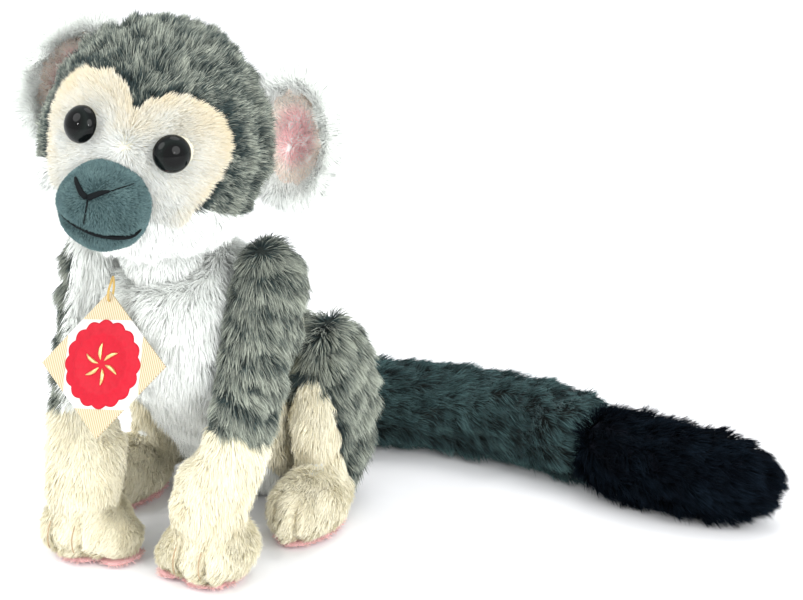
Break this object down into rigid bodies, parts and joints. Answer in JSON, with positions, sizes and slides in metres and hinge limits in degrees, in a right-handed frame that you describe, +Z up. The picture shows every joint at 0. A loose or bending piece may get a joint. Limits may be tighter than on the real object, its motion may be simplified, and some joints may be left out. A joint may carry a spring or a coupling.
{
  "type": "stuffed monkey",
  "caption": "Plush squirrel monkey sitting with straight arms, long-pile fur, cream face mask, glossy eyes, pink-lined ears and a thick black-tipped tail on the floor",
  "frame": {"origin": "on the floor under the middle of the seat", "axes": "+Z up, -Y the way the body faces, +X the toy's left side, where its tail lies"},
  "size_m": [0.2472, 0.2016, 0.1946],
  "materials": {
    "grizzled_plush": "long pile, dark roots with pale grizzled tips",
    "tail_plush": "long grey-green pile with lighter tips",
    "black_plush": "long navy-black pile",
    "face_plush": "short ivory pile",
    "white_plush": "long white pile",
    "cream_plush": "medium cream pile",
    "pink_plush": "short pink pile",
    "pink_fabric": "short pink plush fabric",
    "grey_plush": "short dense grey pile",
    "dark_thread": "embroidery thread",
    "pale_thread": "sewing thread",
    "gold_thread": "twisted metallic thread",
    "eye_gloss": "glossy dome, dark iris ring",
    "washer_plastic": "moulded plastic",
    "stuffing": "polyester fibre fill",
    "pellet_cloth": "thin woven bag of plastic pellets",
    "card": "printed card, pale with thin gold lines",
    "seal_print": "embossed red seal"
  },
  "bodies": {
    "head": {"head_cap_fur": "grizzled_plush", "face_mask": "face_plush", "cheek_ruff": "white_plush", "muzzle": "grey_plush", "muzzle_stuffing": "stuffing", "head_stuffing": "stuffing", "nose_stitch": "dark_thread", "mouth_stitch": "dark_thread", "eye_left": "eye_gloss", "eye_right": "eye_gloss", "eye_washers": "washer_plastic"},
    "neck": {"neck_stuffing": "stuffing"},
    "ear_left": {"ear_back_left": "white_plush", "ear_lining_left": "pink_plush"},
    "arm_left": {"sleeve_left": "grizzled_plush", "forearm_left": "cream_plush", "palm_left": "pink_fabric", "arm_stuffing_left": "stuffing", "finger_stitches_left": "pale_thread"},
    "leg_left": {"thigh_fur_left": "grizzled_plush", "shin_panel_left": "cream_plush", "foot_left": "cream_plush", "sole_left": "pink_fabric", "leg_stuffing_left": "stuffing"},
    "ear_right": {"ear_back_right": "white_plush", "ear_lining_right": "pink_plush"},
    "arm_right": {"sleeve_right": "grizzled_plush", "forearm_right": "cream_plush", "palm_right": "pink_fabric", "arm_stuffing_right": "stuffing", "finger_stitches_right": "pale_thread"},
    "leg_right": {"thigh_fur_right": "grizzled_plush", "shin_panel_right": "cream_plush", "foot_right": "cream_plush", "sole_right": "pink_fabric", "leg_stuffing_right": "stuffing"},
    "trunk": {"back_fur": "grizzled_plush", "chest_bib": "white_plush", "flank_panel_left": "cream_plush", "flank_panel_right": "cream_plush", "seat_panel": "cream_plush", "body_stuffing": "stuffing", "pellet_bag": "pellet_cloth"},
    "tail": {"tail_fur": "tail_plush", "tail_stuffing": "stuffing"},
    "tail_tip": {"tail_tip_fur": "black_plush", "tail_tip_stuffing": "stuffing"},
    "tag": {"tag_card": "card", "tag_emblem": "seal_print", "tag_thread": "gold_thread"}
  },
  "joints": [
    {"name": "head_nod", "type": "hinge", "parent": "trunk", "child": "neck", "pos_m": [-0.003, -0.057, 0.112], "axis": [1, 0, 0], "range_deg": [-6, 6], "stiffness_Nm_per_rad": 0.6},
    {"name": "head_turn", "type": "hinge", "parent": "neck", "child": "head", "pos_m": [-0.003, -0.057, 0.112], "axis": [0, 0, 1], "range_deg": [-25, 25], "stiffness_Nm_per_rad": 0.3},
    {"name": "ear_fold_left", "type": "hinge", "parent": "head", "child": "ear_left", "pos_m": [0.03794, -0.04061, 0.15371], "axis": [0.2227, 0.1768, 0.9587], "range_deg": [-10, 10], "stiffness_Nm_per_rad": 0.02},
    {"name": "ear_fold_right", "type": "hinge", "parent": "head", "child": "ear_right", "pos_m": [-0.04137, -0.05817, 0.17119], "axis": [0.2227, 0.1768, 0.9587], "range_deg": [-10, 10], "stiffness_Nm_per_rad": 0.02},
    {"name": "shoulder_left", "type": "hinge", "parent": "trunk", "child": "arm_left", "pos_m": [0.035, -0.05, 0.088], "axis": [1, 0, 0], "range_deg": [-12, 4], "stiffness_Nm_per_rad": 0.3},
    {"name": "shoulder_right", "type": "hinge", "parent": "trunk", "child": "arm_right", "pos_m": [-0.035, -0.05, 0.088], "axis": [1, 0, 0], "range_deg": [-12, 4], "stiffness_Nm_per_rad": 0.3},
    {"name": "hip_left", "type": "hinge", "parent": "trunk", "child": "leg_left", "pos_m": [0.034, 0.004, 0.04], "axis": [1, 0, 0], "range_deg": [-10, 4], "stiffness_Nm_per_rad": 0.3},
    {"name": "hip_right", "type": "hinge", "parent": "trunk", "child": "leg_right", "pos_m": [-0.034, 0.004, 0.04], "axis": [1, 0, 0], "range_deg": [-10, 4], "stiffness_Nm_per_rad": 0.3},
    {"name": "tail_swing", "type": "hinge", "parent": "trunk", "child": "tail", "pos_m": [0, 0.046, 0.0175], "axis": [0, 0, 1], "range_deg": [-6, 14], "stiffness_Nm_per_rad": 0.2},
    {"name": "tail_tip_bend", "type": "hinge", "parent": "tail", "child": "tail_tip", "pos_m": [0.127, 0.053, 0.0175], "axis": [0, 0, 1], "range_deg": [-14, 14], "stiffness_Nm_per_rad": 0.1},
    {"name": "tag_swing", "type": "hinge", "parent": "trunk", "child": "tag", "pos_m": [-0.0126, -0.0748, 0.106], "axis": [1, 0, 0], "range_deg": [-14, 0]}
  ]
}
